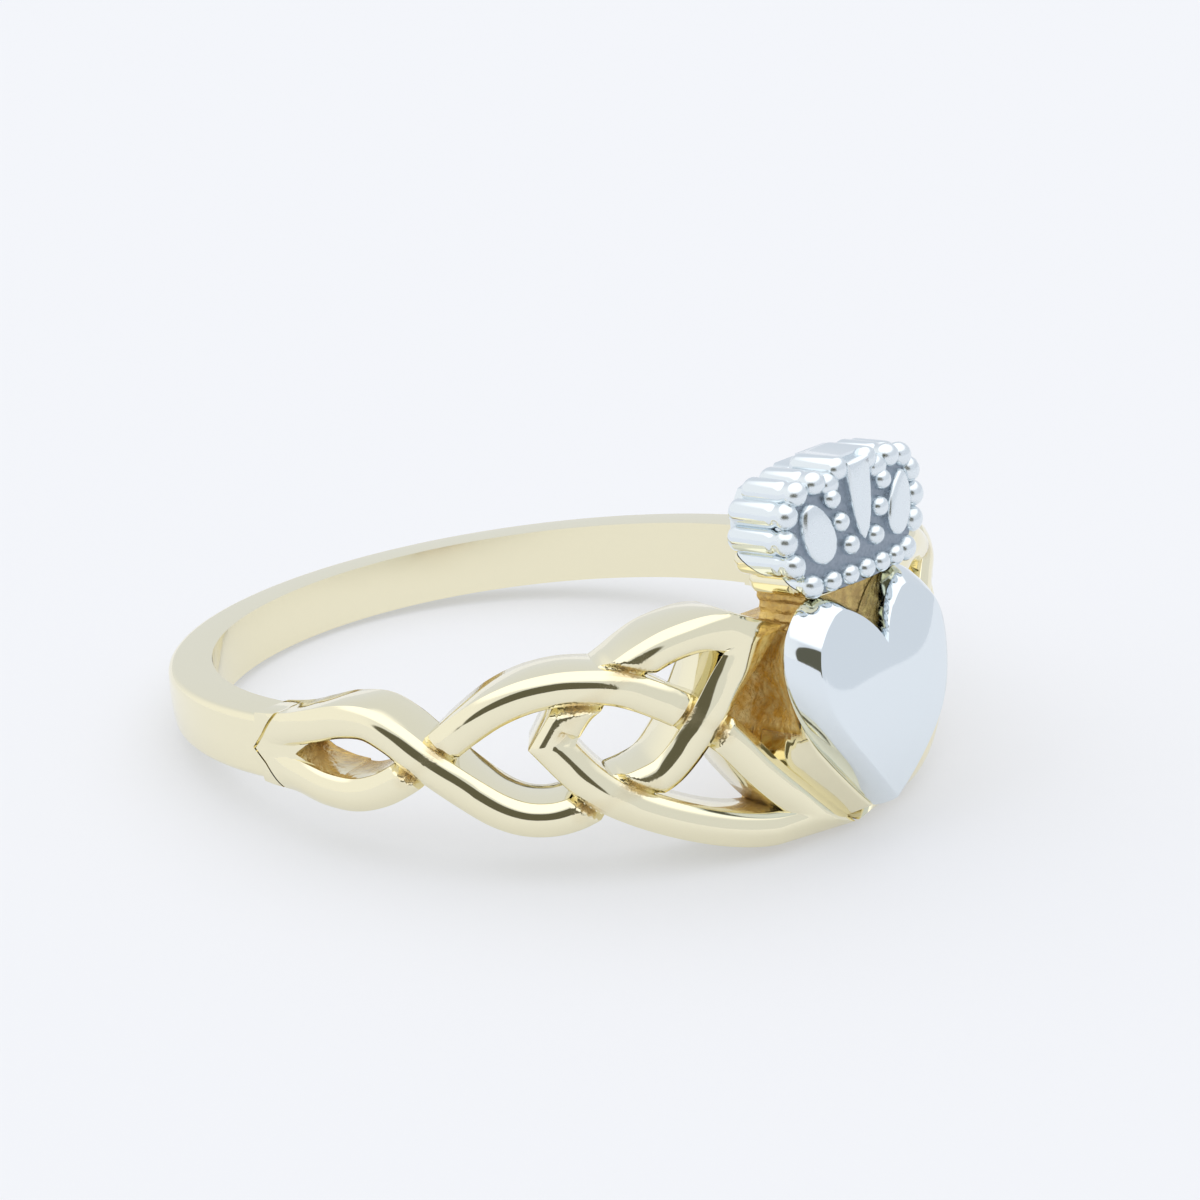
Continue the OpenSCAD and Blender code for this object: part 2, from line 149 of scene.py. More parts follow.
class RingSizes(bpy.types.PropertyGroup):
    """Sizes of the ring. Lengths are in millimetres and angles in degrees."""

    band_t: size("Band thickness", 1.2, "Thickness of the plain band")
    band_w: size("Band width", 1.5, "Width of the plain band at the back")
    band_flare: size("Band flare", 0.4, "Extra width of the plain band where it meets the knots")
    band_round: size("Band edge", 0.22, "Radius on the band's outer edges")
    knot_reach: size("Knot reach", 91, "Angle from the head to a knot's pointed end", "degrees")
    knot_h: size("Knot height", 3.2, "Height from the band's middle to the lowest strand's centre line")
    strand_w: size("Strand width", 0.86, "Width of a strand")
    strand_t: size("Strand height", 1.38, "Height of a strand's crest above the finger hole")
    strand_arc: size("Strand arc", 47, "How far the strand's rounded top turns each way", "degrees")
    head_rise: size("Head rise", 1.0, "How much higher the crests stand at the head than at a knot's point")
    inner_ease: size("Inner ease", 0.5, "How far the strands' inner edges are eased away from the finger")
    weave_lift: size("Weave lift", 0.05, "How far a strand rises where it passes over another")
    weave_dip: size("Weave dip", 0.30, "How deep a strand is cut where it passes under another")
    groove_w: size("Groove width", 0.09, "Width of the groove at a knot's pointed end")
    groove_d: size("Groove depth", 0.10, "Depth of the groove at a knot's pointed end")
    floor_t: size("Floor thickness", 1.15, "Thickness of the seat's floor")
    heart_h: size("Heart height", 5.9, "Height of the heart from its tip to the top of its lobes")
    heart_drop: size("Heart drop", 3.05, "Height of the heart's tip below the band's middle")
    heart_seat: size("Heart seat", 11.4, "Distance from the ring's axis to the back of the heart")
    heart_edge: size("Heart edge", 0.3, "Height of the heart's upright edge")
    heart_dome: size("Heart dome", 0.95, "Rise of the heart's face above its edge")
    crown_r: size("Crown half width", 2.71, "Half of the crown's width where it is widest")
    crown_h: size("Crown height", 3.13, "Height of the crown from its foot to the side lobes")
    crown_peak: size("Crown peak", 0.1, "How much higher the middle lobe stands")
    crown_face: size("Crown face", 11.92, "Distance from the ring's axis to the sunken face behind the beads")
    crown_gap: size("Crown gap", 0.04, "Gap between the crown's foot and the top of the heart")
    ridge_r: size("Ridge radius", 0.3, "Radius of the ridges round the crown's edge")
    bead_r: size("Bead radius", 0.275, "Radius of the beads on the crown's face")
    petal_t: size("Petal height", 0.24, "Height of the petals on the crown's face")
    foot_h: size("Foot height", 1.3, "Height of the crown's yellow foot at the back")
    neck_r: size("Neck half width", 1.7, "Half of the width of the neck under the crown")
    seam: size("Solder seam", 0.03, "Gap that stands for the solder line")


def colour(name, hex_colour, description):
    """A colour that a user may change."""
    return bpy.props.FloatVectorProperty(
        name=name, subtype="COLOR", size=4, min=0, max=1, default=linear(hex_colour), description=description
    )


class RingColours(bpy.types.PropertyGroup):
    """Colours of the metals and the studio."""

    yellow_gold: colour("Yellow gold", "#f3ecce", "Polished 14 carat yellow gold")
    cast_gold: colour("Cast gold", "#e2bd62", "Yellow gold as it left the mould")
    white_gold: colour("White gold", "#e6edf1", "Rhodium plated white gold")
    oxide: colour("Oxide", "#a9b3bf", "Darkened white gold between the beads")
    # The paper's own colour; the studio adds a painted glow over it, which lifts the ring's shadow.
    paper: colour("Paper", "#b4b5b8", "Paper that the ring lies on, without the light that comes through it")


def sizes():
    return bpy.context.scene.ring_sizes


def colours():
    return bpy.context.scene.ring_colours


def smooth(x):
    """0 below 0, 1 above 1, and a smooth step between."""
    t = np.clip(x, 0, 1)
    return t * t * (3 - 2 * t)


def on_cylinder(along, z, r, mid_r):
    """Ring points from a distance along the unrolled band, a height and a radius."""
    a = np.asarray(along) / mid_r
    return np.stack((r * np.sin(a), -r * np.cos(a), np.broadcast_to(z, np.shape(a))), axis=-1)


def catmull(rows, step, measure=lambda p: p):
    """A smooth curve through rows, with a point about every step of its measured length."""
    rows = np.array(rows, dtype=float)
    n = len(rows) - 1
    points = []
    for i in range(n):
        p, q, r, s = rows[max(i - 1, 0)], rows[i], rows[i + 1], rows[min(i + 2, n)]
        parts = max(1, math.ceil(np.linalg.norm(measure(r) - measure(q)) / step))
        for t in np.arange(parts) / parts:
            points.append(
                0.5 * (2 * q + (r - p) * t + (2 * p - 5 * q + 4 * r - s) * t**2 + (3 * q - p - 3 * r + s) * t**3)
            )
    points.append(rows[n])
    return np.array(points)


def unit(v):
    return v / np.linalg.norm(v, axis=-1, keepdims=True)


def left_of(d):
    return np.stack((-d[..., 1], d[..., 0]), axis=-1)


def mitre(d, e):
    """The sideways step for one unit of offset where heading d turns into heading e."""
    m, n = left_of(d), left_of(e)
    return (m + n) / (1 + m @ n)


def solid(name, points, faces):
    """A mesh object in the ring's own mm, with its faces turned outwards."""
    mesh = bpy.data.meshes.new(name)
    mesh.from_pydata([tuple(p) for p in points], [], faces)
    made = bmesh.new()
    made.from_mesh(mesh)
    bmesh.ops.recalc_face_normals(made, faces=made.faces)
    bmesh.ops.triangulate(made, faces=[f for f in made.faces if len(f.verts) > 4])
    made.to_mesh(mesh)
    made.free()
    obj = bpy.data.objects.new(name, mesh)
    bpy.context.scene.collection.objects.link(obj)
    for _ in range(2):
        mesh.materials.append(None)
    return obj


def lofted(name, rings, peak=None):
    """A solid between closed rings of points, ending in a flat face or in a point."""
    n, m = len(rings[0]), len(rings)
    points = [p for ring in rings for p in ring]
    faces = [
        (i * n + j, i * n + (j + 1) % n, (i + 1) * n + (j + 1) % n, (i + 1) * n + j)
        for i in range(m - 1)
        for j in range(n)
    ]
    faces.append(tuple(range(n)))
    if peak is None:
        faces.append(tuple((m - 1) * n + j for j in range(n)))
    else:
        points.append(peak)
        faces += [((m - 1) * n + j, (m - 1) * n + (j + 1) % n, m * n) for j in range(n)]
    return solid(name, points, faces)


def lathed(name, profile, centre, tangent=(1, 0), stretch=1.0, sides=32):
    """A solid turned about an axis along Y, from rows of [y, radius], wider along its tangent."""
    turn = [2 * math.pi * k / sides for k in range(sides)]
    rings = []
    for y, r in profile:
        ring = []
        for t in turn:
            u, v = r * stretch * math.cos(t), r * math.sin(t)
            ring.append((centre[0] + u * tangent[0] - v * tangent[1], y, centre[1] + u * tangent[1] + v * tangent[0]))
        rings.append(ring)
    return lofted(name, rings)


def combined(first, others, operation="UNION"):
    """The first solid joined with, cut by or kept inside the others, as one closed mesh."""
    for other in others:
        step = first.modifiers.new(other.name, "BOOLEAN")
        step.operation = operation
        step.solver = "MANIFOLD"
        step.material_mode = "INDEX"
        step.object = other
    bpy.context.view_layer.update()
    graph = bpy.context.evaluated_depsgraph_get()
    mesh = bpy.data.meshes.new_from_object(first.evaluated_get(graph))
    first.modifiers.clear()
    first.data = mesh
    for other in others:
        bpy.data.objects.remove(other)
    return first


def mirrored(obj):
    """A copy of a solid, mirrored across the ring's middle plane."""
    copy = obj.copy()
    copy.data = obj.data.copy()
    copy.data.transform(Matrix.Scale(-1, 4, (1, 0, 0)))
    copy.data.flip_normals()
    bpy.context.scene.collection.objects.link(copy)
    return copy


def as_cast(obj):
    """Marks a solid's faces as left from the mould. Boolean steps keep the mark."""
    for face in obj.data.polygons:
        face.material_index = 1
    return obj


def drop_flaps(mesh):
    """Deletes the pairs of faces back to back, without any volume, that Boolean steps can leave."""
    made = bmesh.new()
    made.from_mesh(mesh)
    twins = {}
    for face in made.faces:
        twins.setdefault(frozenset(v.index for v in face.verts), []).append(face)
    bmesh.ops.delete(made, geom=[f for faces in twins.values() if len(faces) > 1 for f in faces], context="FACES")
    made.to_mesh(mesh)
    made.free()


def place(obj, name, node, materials, finish_of=None, raw_of=None, crease=40):
    """Lays a finished solid into the part's frame. Its faces get their material from finish_of, and
    raw_of gives each corner of a face its share of the cast finish, up to 2 in the seat's recess,
    where the share over 1 is painted light: a paler gold that lifts the recess's shade."""
    obj.name = obj.data.name = name
    mesh = obj.data
    drop_flaps(mesh)
    if raw_of:
        raw = mesh.attributes.new("cast", "FLOAT", "CORNER")
        for face in mesh.polygons:
            for k in face.loop_indices:
                spot = mesh.vertices[mesh.loops[k].vertex_index].co
                raw.data[k].value = raw_of(spot, face.normal, face.material_index == 1)
    mesh.materials.clear()
    for material in materials:
        mesh.materials.append(material)
    for face in mesh.polygons:
        face.material_index = finish_of(face.center, face.normal) if finish_of else 0
        face.use_smooth = True
    mesh.set_sharp_from_angle(angle=math.radians(crease))
    mesh.transform(RING_PLACE)
    mesh.update()
    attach(obj, "root")
    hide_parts(node)
    return obj


def cast_noise(p, grain):
    """Unevenness of a cast surface, from -1 to 1, for a point in mm and a grain in mm."""
    return noise.fractal(Vector(p) / grain, 0.8, 2.0, 3)


# The band and its knots


class Strands:
    """Works out the woven strands of one knot."""

    step = 0.07  # mm between sections
    reach = 0.20  # mm from an upper strand's side to where the lower one starts to dip
    ramp = 0.16  # mm over which it dips
    over_near, under_near = 0.6, 1.0  # mm along a strand that count as at a crossing, over and under
    nick, nick_grain = 0.03, 0.16  # depth and grain of the unevenness in the dips, in mm
    corner_clear = 0.12  # mm between a corner's mitre and the first full section
    corner_parts = 6  # sections drawn between the two
    ease_lean, least_foot = 20, 0.1  # lean of the eased inner edges, in degrees, and least width left
    head_wide = 0.12  # how much wider the strands are in the knot's top corner, where they are flat too
    head_a, head_ramp = 24, 10  # where the top corner starts, and over what it comes, in degrees
    point_a, point_ramp = 0.98, 6.0  # where the flat point starts, as a share of knot_reach, likewise
    point_rise = 0.15  # share of knot_reach over which the crests rise from the band's
    flat_share = 0.35  # how rounded a strand still is where it is flat
    arris_w = 0.02  # width of the edge between a strand's wall and its rounded top, in mm
    arris = [(0, 0.035), (0.006, 0.012)]  # mm in from the wall, mm below the rounded top

    def __init__(self, s):
        self.s = s
        self.mid_r = FINGER_R + s.strand_t / 2
        self.band_r = FINGER_R + s.band_t
        self.lines = [self.line(run) for run in RUNS]
        self.upper = [self.flat(line)[self.near(line, line[:, 2] > 0.5, self.over_near)] for line in self.lines]
        self.steps = []

    def flat(self, rows):
        rows = np.asarray(rows)
        return np.stack((np.radians(rows[..., 0]) * self.mid_r, rows[..., 1]), axis=-1)

    def line(self, run):
        rows = [(a * self.s.knot_reach, z * self.s.knot_h, level) for a, z, level in run]
        return catmull(rows, self.step, self.flat)

    def near(self, line, chosen, distance):
        """Which points of a line lie within a distance along it of a chosen one."""
        along = self.step * np.arange(len(line))
        return np.array([np.any(np.abs(along[chosen] - a) < distance) for a in along])

    def swell(self, a):
        """How much a knot has swollen at an angle: nothing at its point, and 1 at the head."""
        return max(0.0, math.cos(math.pi / 2 * a / self.s.knot_reach))

    def crest(self, a):
        """Height of the crests: the band's at a knot's point, and highest at the head."""
        s = self.s
        risen = smooth((1 - a / s.knot_reach) / self.point_rise)
        return self.band_r + (s.strand_t - s.band_t) * risen + s.head_rise * self.swell(a)

    def section(self):
        """Half of a strand's section, from its wall to its crest: distance aside and drop."""
        s = self.s
        half = s.strand_w / 2
        turn = math.radians(s.strand_arc)
        arc_r = (half - self.arris_w) / math.sin(turn)
        arc = [(arc_r * math.sin(t), arc_r * (1 - math.cos(t))) for t in np.linspace(turn, 0, 10)]
        return [(half - x, arc[0][1] + drop) for x, drop in self.arris] + arc

    def ring(self, row, side, dips):
        """One section of a strand, in ring points, dipped where an upper strand is near."""
        a, z, level = row
        mid = self.flat(row[:2])
        half = self.section()
        outline = half + [(-x, d) for x, d in reversed(half[:-1])]
        corner = smooth((self.head_a - a) / self.head_ramp) * smooth(z)
        aside = np.array([x for x, _ in outline]) * (1 + self.head_wide * corner)
        drop = np.array([d for _, d in outline])
        flat = mid + aside[:, None] * side
        rounded = smooth((self.s.knot_reach * self.point_a - a) / self.point_ramp) * (1.0 - corner)
        lift = self.s.weave_lift * max(level, 0)
        top = self.crest(a) + lift - drop * (self.flat_share + (1 - self.flat_share) * rounded)
        if dips is not None and len(dips):
            away = np.min(np.linalg.norm(flat[:, None] - dips[None], axis=-1), axis=1)
            share = smooth((self.s.strand_w / 2 + self.reach - away) / self.ramp)
            rough = np.array([cast_noise((*p, r), self.nick_grain) for p, r in zip(flat, top)])
            top = top - share * (self.s.weave_dip + self.nick * rough)
            if share.max() > 0.3:
                self.steps.append(on_cylinder(*mid, self.crest(a) - 0.2, self.mid_r))
        edge = FINGER_R + self.s.inner_ease * self.swell(a)
        eased = math.tan(math.radians(self.ease_lean)) * (edge - ROOT_R) / (self.s.strand_w / 2)
        foot = max(self.least_foot, 1 - eased)
        flat = np.vstack((mid + (flat[:1] - mid) * foot, flat[:1], flat, flat[-1:], mid + (flat[-1:] - mid) * foot))
        r = np.concatenate(([ROOT_R, edge], top, [edge, ROOT_R]))
        return on_cylinder(flat[:, 0], flat[:, 1], r, self.mid_r)

    def strand(self, k, before, after):
        """The solid of one run between two corners."""
        line = self.lines[k]
        flat = self.flat(line)
        heading = unit(np.gradient(flat, axis=0))
        m0 = left_of(heading[0]) if before is None else mitre(before, heading[0])
        m1 = left_of(heading[-1]) if after is None else mitre(heading[-1], after)
        half = self.s.strand_w / 2
        clear0 = abs(m0 @ heading[0]) * half + self.corner_clear
        clear1 = abs(m1 @ heading[-1]) * half + self.corner_clear
        under = self.near(line, line[:, 2] < -0.5, self.under_near)
        dips = np.vstack([u for j, u in enumerate(self.upper) if j != k])
        rings = [self.ring(line[0], m0, None)]
        for i in range(1, len(line) - 1):
            if np.linalg.norm(flat[i] - flat[0]) > clear0 and np.linalg.norm(flat[i] - flat[-1]) > clear1:
                rings.append(self.ring(line[i], left_of(heading[i]), dips if under[i] else None))
        rings.append(self.ring(line[-1], m1, None))
        return lofted("strand", self.filled(rings))

    def filled(self, rings):
        """Adds sections between the mitres and the first full sections."""
        shares = np.linspace(0, 1, self.corner_parts)
        first = [rings[0] + (rings[1] - rings[0]) * t for t in shares[:-1]]
        last = [rings[-2] + (rings[-1] - rings[-2]) * t for t in shares[1:]]
        return first + rings[1:-1] + last

    def knot(self):
        """The solids of the knot's runs, mitred where one turns into the next."""
        headings = [unit(np.gradient(self.flat(line), axis=0)) for line in self.lines]
        before = [None] + [h[-1] for h in headings[:-1]]
        after = [h[0] for h in headings[1:]] + [None]
        return [self.strand(k, before[k], after[k]) for k in range(len(headings))]


def heart_outline(s, out=0.0, parts=8):
    """The heart's outline [x, z] from its tip, pushed outwards by a distance in mm, but not in its
    cleft, or drawn in towards its middle where the distance is less than nothing."""
    cleft_w, cleft_z, tip_push = 0.8, 1.0, 0.7
    rows = [(x * HEART_R, z * s.heart_h - s.heart_drop, k) for k, (x, z) in enumerate(HEART_HALF)]
    side = catmull(rows, 1 / parts, lambda p: p[2:])[:, :2]
    along = unit(np.gradient(side, axis=0))
    normal = np.stack((along[:, 1], -along[:, 0]), axis=-1)
    normal[0] = (0, -tip_push)
    pushed = smooth(side[:, 0] / cleft_w + (side[:, 1] < cleft_z))
    side = side + normal * (np.maximum(out, 0) * pushed)[:, None]
    side = heart_mid(s) + (side - heart_mid(s)) * (1 + np.minimum(out, 0) / HEART_R * np.ones(len(side)))[:, None]
    return np.vstack((side, [(-x, z) for x, z in side[-2:0:-1]]))


def heart_mid(s):
    """The middle of the heart's face, as [x, z]."""
    return np.array((0, HEART_BELLY * s.heart_h - s.heart_drop))


def shank(s):
    """The plain band, from the root of one knot round the back to the other."""
    root_share, crown_rise = 0.82, 0.03  # where it starts, as a share of knot_reach, and its bulge in mm
    band_r = FINGER_R + s.band_t
    start = 90 - root_share * s.knot_reach
    turns = np.radians(np.linspace(-start, 180 + start, 241))
    rings = []
    for t in turns:
        y = band_r * math.sin(t)
        half = s.band_w / 2 + s.band_flare / 2 * (1 - y / band_r) / 2
        corner = [
            (band_r - s.band_round * (1 - math.sin(a)), half - s.band_round * (1 - math.cos(a)))
            for a in np.linspace(0, math.pi / 2, 7)
        ]
        crown = [(band_r + crown_rise * (1 - k * k), (half - s.band_round) * k) for k in (0.75, 0.5, 0.25, 0)]
        upper = [(ROOT_R, half)] + corner + crown
        outline = upper + [(r, -z) for r, z in reversed(upper[:-1])]
        rings.append([(r * math.cos(t), r * math.sin(t), z) for r, z in outline])
    return lofted("shank", rings)


def plate(name, outline, inner, outer, mid_r):
    """A plate bent round the ring: an unrolled outline [mm along, height] between two radii."""
    outline = np.array(outline)
    rings = [on_cylinder(outline[:, 0], outline[:, 1], r, mid_r) for r in (inner, outer)]
    return lofted(name, rings)


def knot_cutters(s, strands):
    """The window's pointed end and the groove at a knot's outer point."""
    edge_from, edge_to, shoulder_a, tip_a = 72, 80, 81.4, 83.2  # in degrees round from the head
    shoulder_share = 0.62  # height of the window's shoulders, as a share of its height before them
    groove_tip, groove_root, past = 0.8, -5.6, 0.2  # degrees past the knot's point, and mm past the band
    band_r = FINGER_R + s.band_t
    mid_r = strands.mid_r
    half = s.strand_w / 2

    def along(degrees):
        return math.radians(degrees) * mid_r

    sides = []
    for run, side in ((0, -1), (3, 1)):
        flat = strands.flat(strands.lines[run])
        normal = left_of(unit(np.gradient(flat, axis=0)))
        normal *= np.sign(normal[:, 1:]) * side
        sides.append(sorted((x, z) for x, z in flat + normal * half if along(edge_from) < x < along(edge_to)))
    upper, lower = sides
    high, low = ((along(shoulder_a), shoulder_share * side[-1][1]) for side in sides)
    window = upper + [high, (along(tip_a), 0.0), low] + lower[::-1]
    w = s.groove_w / 2
    reach, far = along(s.knot_reach + groove_tip), along(s.knot_reach + groove_root)
    top = (s.band_w + s.band_flare) / 2 + past
    groove = [
        (far + w, top), (reach + w, 0), (far + w, -top),
        (far - w, -top), (reach - w, 0), (far - w, top),
    ]
    return [
        plate("window", window, FINGER_R - 1, band_r + 1, mid_r),
        plate("groove", groove, band_r - s.groove_d, band_r + 1, mid_r),
    ]


def floor(s):
    """The cast floor of the seat, between the knots and the heart."""
    low_w, across, up = 0.3, 72, 60  # least half width in mm, and points across and up
    lumps = ((3.0, 0.34, 0.07), (9.0, 0.11, 0.035))  # place in the noise, grain and height in mm
    rows = [(x * HEART_R, z * s.knot_h) for x, z in FLOOR_HALF]
    zs = np.linspace(rows[0][1] + 0.01, rows[-1][1] - 0.01, up)
    sides = [(low_w, rows[0][1])] + rows[1:-1] + [(rows[-2][0], rows[-1][1])]
    widths = np.interp(zs, [z for _, z in sides], [x for x, _ in sides])
    floor_r = FINGER_R + s.floor_t
    outer, inner = [], []
    for z, w in zip(zs, widths):
        for x in np.linspace(-w, w, across):
            r = floor_r + sum(cast_noise((x, z, spot), grain) * height for spot, grain, height in lumps)
            a = x / floor_r
            outer.append((r * math.sin(a), -r * math.cos(a), z))
            inner.append((ROOT_R * math.sin(a), -ROOT_R * math.cos(a), z))
    base = up * across
    grid = np.arange(base).reshape(up, across)
    faces = []
    for quad in zip(*(part.flat for part in (grid[:-1, :-1], grid[:-1, 1:], grid[1:, 1:], grid[1:, :-1]))):
        faces += [quad, tuple(base + v for v in reversed(quad))]
    edge = [*grid[0], *grid[1:, -1], *grid[-1, -2::-1], *grid[-2:0:-1, 0]]
    for a, b in zip(edge, edge[1:] + edge[:1]):
        faces.append((a, b, base + b, base + a))
    return solid("floor", outer + inner, faces)


# The seat's wall round the heart, beside the lobes, where it is as cast, and below them, where it
# widens into a polished rim. Each row: distance outside the heart's outline, distance from the
# ring's axis.
RIM_HIGH = [
    (-0.95, 9.60), (-0.85, 10.0), (-0.66, 10.5), (-0.46, 10.85),
    (-0.28, 11.1), (-0.12, 11.28), (-0.06, 11.36), (-0.05, 11.37),
]
RIM_LOW = [
    (0.72, 9.60), (0.68, 10.1), (0.58, 10.45), (0.44, 10.75),
    (0.31, 10.96), (0.20, 11.12), (0.06, 11.34), (0.03, 11.34),
]
RIM_TURN = 0.3  # height at which the wall starts to widen into the rim
RIM_BLEND = 1.65  # height over which it does
CAST_END = -0.76  # height at which the cast finish ends
RIM_TOP = 11.3  # distance from the ring's axis at which it ends


def rim(s):
    """The wall of the seat round the heart, with its rim."""
    grain, lump, smooth_r, lobe_z = 0.22, 0.045, 11.05, 2.1  # no lumps past this radius or height
    rings = []
    high = catmull(RIM_HIGH, 0.08)
    low = catmull(RIM_LOW, 0.08)
    base = heart_outline(s)
    half = len(base) // 2 + 1
    wide = smooth((RIM_TURN - base[:, 1]) / RIM_BLEND)
    for t in np.linspace(0, 1, 26):
        pair = []
        for rows in (high, low):
            at = t * (len(rows) - 1)
            pair.append([np.interp(at, np.arange(len(rows)), rows[:, k]) for k in (0, 1)])
        out, y = (a + (b - a) * wide for a, b in zip(*pair))
        depth = np.clip((smooth_r - y) / 0.2, 0, 1) * (1 - wide) * smooth((lobe_z - base[:, 1]) / 0.5)
        lumps = np.array([cast_noise((*p, yy), grain) for p, yy in zip(base, y)]) * lump * depth
        grown = heart_outline(s, (out + lumps)[:half])
        rings.append([(p[0], -yy, p[1]) for p, yy in zip(grown, y)])
    inside = heart_outline(s, -0.1)
    rings.append([(p[0], -s.heart_seat + s.seam, p[1]) for p in inside])
    return lofted("rim", rings)


def neck(s, foot_z):
    """The cast neck between the heart's block and the crown's foot."""
    low_z, overlap = 1.2, 0.12
    waist_w, waist_z, waist_h = 0.10, 2.45, 0.35  # how far it is drawn in, where, and over what height
    step_w, steps = 0.03, 24  # depth of the steps left by filing, and their number in 2 pi mm
    back, side, front = 9.8, 11.3, 11.37  # distances from the ring's axis
    rings = []
    for z in np.linspace(low_z, foot_z + overlap, 26):
        w = s.neck_r - waist_w * math.exp(-(((z - waist_z) / waist_h) ** 2)) + step_w * math.sin(z * steps)
        left = [(-w, y) for y in np.linspace(back, side, 16)]
        right = [(w, y) for y in np.linspace(side, back, 16)]
        ring = []
        for x, y in left + [(x, front) for x in np.linspace(-w, w, 24)] + right:
            lump = 0.03 * cast_noise((x, y, z), 0.16)
            ring.append((x * (1 + lump / s.neck_r), -y + (lump if y < front else 0), z))
        rings.append(ring)
    return lofted("neck", rings)


# The crown


def crown_marks(s):
    """Places of the crown's ridges, notches and beads, as [x, z] in mm."""
    foot_z = s.heart_h - s.heart_drop + s.crown_gap

    def at(row):
        return (row[0] * s.crown_r, foot_z + s.ridge_r + row[1] * (s.crown_h - 2 * s.ridge_r))

    peak_z = foot_z + s.crown_h + s.crown_peak
    return {
        "foot_z": foot_z,
        "peak_z": peak_z,
        "at": at,
        "side": [at(r) for r in RIDGE_PLACES],
        "notch": at(NOTCH_PLACE),
        "shoulder": (1.8 * s.ridge_r, peak_z - s.ridge_r),
        "beads": [at(r) for r in BEAD_PLACES],
    }


def prism(name, outline, near_y, far_y):
    """A plate between two distances in front of the ring's axis, from a front outline [x, z]."""
    return lofted(name, [[(x, -y, z) for x, z in outline] for y in (near_y, far_y)])


def both_sides(half):
    """A whole outline from its right half."""
    return half + [(-x, z) for x, z in reversed(half) if x > 0]


def face_cylinder(r, height=40, sides=256):
    """A cylinder about the ring's axis."""
    rings = []
    for z in (-height / 2, height / 2):
        rings.append([(r * math.cos(t), r * math.sin(t), z) for t in np.linspace(0, 2 * math.pi, sides + 1)[:-1]])
    return lofted("cylinder", rings)


def ridge(s, spot, back_y, tangent, knob=True):
    """One ridge of the crown: a rounded rib that ends in a knob behind a notch."""
    back_round, notch_back, knob_back, knob_size, wide = 0.28, 0.30, 0.05, 1.03, 1.1
    # Each row: mm in front of the notch, share of ridge_r.
    notch = [(-0.24, 1.02), (-0.14, 1.0), (-0.07, 0.96), (0, 0.89), (0.04, 0.90)]
    r = s.ridge_r
    front = math.sqrt(s.crown_face**2 - spot[0] ** 2)
    ball = front - knob_back
    turns = np.linspace(0.05, math.pi / 2, 9)
    rows = [(-back_y - back_round * (1 - math.cos(t)), 0.02 + (r - 0.01) * math.sin(t)) for t in turns]
    if knob:
        rows += [(-(front - notch_back + y), r * share) for y, share in notch]
        big = r * knob_size
        for t in np.linspace(math.radians(-26), math.radians(88), 12):
            rows.append((-(ball + big * math.sin(t)), big * math.cos(t)))
    else:
        for t in np.linspace(0, math.radians(88), 8):
            rows.append((-(ball + r * 0.8 * math.sin(t)), r * math.cos(t)))
    rows.sort(key=lambda row: -row[0])
    return lathed("ridge", rows, spot, tangent, wide)


def back_of(z):
    """How far in front of the ring's axis the crown's back stands, by height."""
    return float(np.interp(z, [5.2, 5.5, 5.95, 6.1], [9.86, 9.93, 10.15, 10.45]))


def domed(name, outline, edge_r, height):
    """A petal that stands on the crown's curved face, from a front outline [x, z]."""
    outline = np.array(outline)
    mid = outline.mean(axis=0)
    # Share of the outline kept, and rise of the dome as a share of its height.
    levels = [(1.0, -2.0), (1.0, 0.45), (0.97, 0.66), (0.90, 0.83), (0.78, 0.93), (0.5, 0.99), (0.2, 1.0)]
    rings = []
    for keep, rise in levels:
        ring = []
        for x, z in mid + (outline - mid) * keep:
            r = edge_r + rise * height
            ring.append((x, -math.sqrt(r * r - x * x), z))
        rings.append(ring)
    return lofted(name, rings)


def petals(s, marks):
    """The crown's side petals and its middle one."""
    half_w, taper, half_h, lean = 0.175, 0.03, 0.262, 17  # shares of crown_r and crown_h, and degrees
    middle_foot, middle_top = 0.33, 0.5  # shares of crown_h from the foot, and of ridge_r from the peak
    side = []
    x, z = marks["at"]((0.57, 0.50))
    turn = math.radians(-lean)
    for t in np.linspace(0, 2 * math.pi, 49)[:-1]:
        u = (half_w - taper * math.sin(t)) * s.crown_r * math.cos(t)
        v = half_h * s.crown_h * math.sin(t)
        side.append((x + u * math.cos(turn) - v * math.sin(turn), z + u * math.sin(turn) + v * math.cos(turn)))
    low = marks["foot_z"] + middle_foot * s.crown_h
    high = marks["peak_z"] - middle_top * s.ridge_r
    half = catmull([(x * s.crown_r, low + z * (high - low)) for x, z in PETAL_HALF[:-1]], 0.08)
    right = domed("petal", side, s.crown_face, s.petal_t)
    middle = domed("petal", both_sides([tuple(p) for p in half]), s.crown_face, s.petal_t)
    return [right, mirrored(right), middle]


def crown_block(s, marks):
    """The crown's core, ridges and middle lobe, before beads and petals."""
    side, shoulder, foot_z = marks["side"], marks["shoulder"], marks["foot_z"]
    spots = side + [marks["notch"], shoulder]
    half = [(0, foot_z), (side[0][0], foot_z)] + spots + [(0, shoulder[1])]
    core = prism("core", both_sides(half), back_of(0) - 0.01, s.crown_face + 1)
    block = combined(core, [face_cylinder(s.crown_face)], "INTERSECT")
    ridges = []
    for i, spot in enumerate(spots):
        tangent = (1, 0)
        if i < len(side):
            a, b = side[max(i - 1, 0)], side[min(i + 1, len(side) - 1)]
            tangent = unit(np.array((b[0] - a[0], b[1] - a[1])))
        made = ridge(s, spot, back_of(spot[1] + s.ridge_r), tangent, i < len(side))
        ridges += [made, mirrored(made)]
    top = marks["peak_z"] - 0.01
    x = shoulder[0]
    square = [(-x, top - 1.2), (x, top - 1.2), (x, top), (-x, top)]
    plateau = prism("plateau", square, back_of(top) + 0.1, s.crown_face - 0.1)
    return combined(block, ridges + [plateau])


